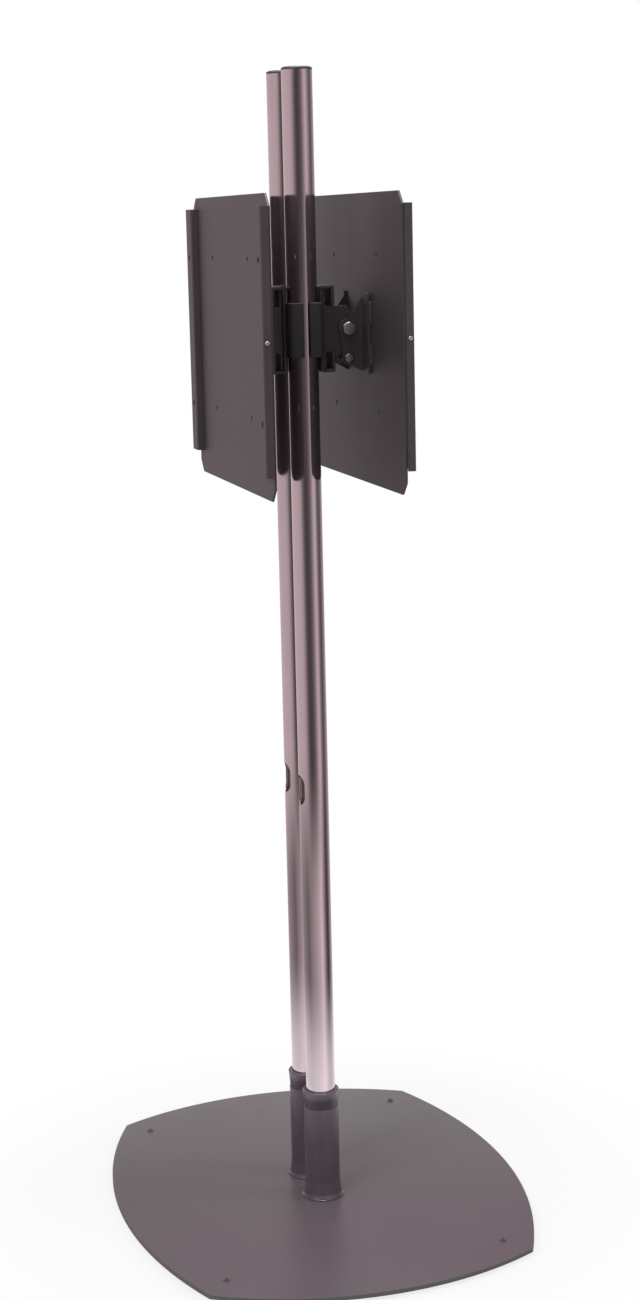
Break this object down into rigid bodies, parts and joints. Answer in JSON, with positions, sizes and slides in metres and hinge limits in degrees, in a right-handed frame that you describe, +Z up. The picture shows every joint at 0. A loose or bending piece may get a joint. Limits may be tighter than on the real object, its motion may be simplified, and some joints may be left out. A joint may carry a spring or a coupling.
{
  "type": "tv stand with mount",
  "caption": "Floor stand with a bowed base plate, chrome poles with black foot sleeves, and a sliding clamp that carries a tilting display plate front and rear.",
  "frame": {"origin": "on the floor under the middle of the base plate", "axes": "+Z up along the poles, +X along the pair of poles, -Y towards the front screen"},
  "size_m": [0.696, 0.5598, 1.54],
  "materials": {
    "base_paint": "satin",
    "chrome": "polished",
    "black_satin": "satin",
    "black_plastic": "satin",
    "black_nylon": "matt",
    "black_cast": "black powder coat",
    "black_powder": "powder coat",
    "black_oxide": "black oxide",
    "zinc_steel": "zinc plated"
  },
  "bodies": {
    "stand": {"base_plate": "base_paint", "base_bolts": "zinc_steel", "pole_caps": "black_plastic", "pole_left": "chrome", "sleeve_left": "black_satin", "pole_right": "chrome", "sleeve_right": "black_satin"},
    "leveller_front_left": {"leveller_stud_front_left": "black_oxide", "leveller_pad_front_left": "black_nylon"},
    "leveller_front_right": {"leveller_stud_front_right": "black_oxide", "leveller_pad_front_right": "black_nylon"},
    "leveller_rear_left": {"leveller_stud_rear_left": "black_oxide", "leveller_pad_rear_left": "black_nylon"},
    "leveller_rear_right": {"leveller_stud_rear_right": "black_oxide", "leveller_pad_rear_right": "black_nylon"},
    "mount": {"clamp_bolts": "zinc_steel", "clamp_nuts": "zinc_steel", "tilt_shaft_nuts": "zinc_steel", "clamp_jaw_front": "black_cast", "clamp_jaw_rear": "black_cast", "pole_bracket_front": "black_powder", "pole_bracket_rear": "black_powder", "tilt_yoke_front": "black_powder", "tilt_yoke_rear": "black_powder", "tilt_shaft_front": "zinc_steel", "tilt_shaft_rear": "zinc_steel"},
    "front_head": {"front_display_plate": "black_powder", "front_tilt_ear_left": "black_powder", "front_tilt_ear_right": "black_powder", "front_tilt_lock_bolts": "zinc_steel", "front_tilt_lock_nuts": "zinc_steel", "front_display_rail_left": "black_powder", "front_display_rail_right": "black_powder"},
    "rear_head": {"rear_display_plate": "black_powder", "rear_tilt_ear_left": "black_powder", "rear_tilt_ear_right": "black_powder", "rear_tilt_lock_bolts": "zinc_steel", "rear_tilt_lock_nuts": "zinc_steel", "rear_display_rail_left": "black_powder", "rear_display_rail_right": "black_powder"}
  },
  "joints": [
    {"name": "height_slide", "type": "slide", "parent": "stand", "child": "mount", "axis": [0, 0, 1], "range_m": [-0.8, 0.27]},
    {"name": "front_tilt", "type": "hinge", "parent": "mount", "child": "front_head", "pos_m": [0, -0.06, 1.208], "axis": [1, 0, 0], "range_deg": [-5, 15]},
    {"name": "rear_tilt", "type": "hinge", "parent": "mount", "child": "rear_head", "pos_m": [0, 0.06, 1.208], "axis": [-1, 0, 0], "range_deg": [-5, 15]},
    {"name": "leveller_front_left_screw", "type": "slide", "parent": "stand", "child": "leveller_front_left", "axis": [0, 0, -1], "range_m": [0, 0.005]},
    {"name": "leveller_front_right_screw", "type": "slide", "parent": "stand", "child": "leveller_front_right", "axis": [0, 0, -1], "range_m": [0, 0.005]},
    {"name": "leveller_rear_left_screw", "type": "slide", "parent": "stand", "child": "leveller_rear_left", "axis": [0, 0, -1], "range_m": [0, 0.005]},
    {"name": "leveller_rear_right_screw", "type": "slide", "parent": "stand", "child": "leveller_rear_right", "axis": [0, 0, -1], "range_m": [0, 0.005]}
  ]
}
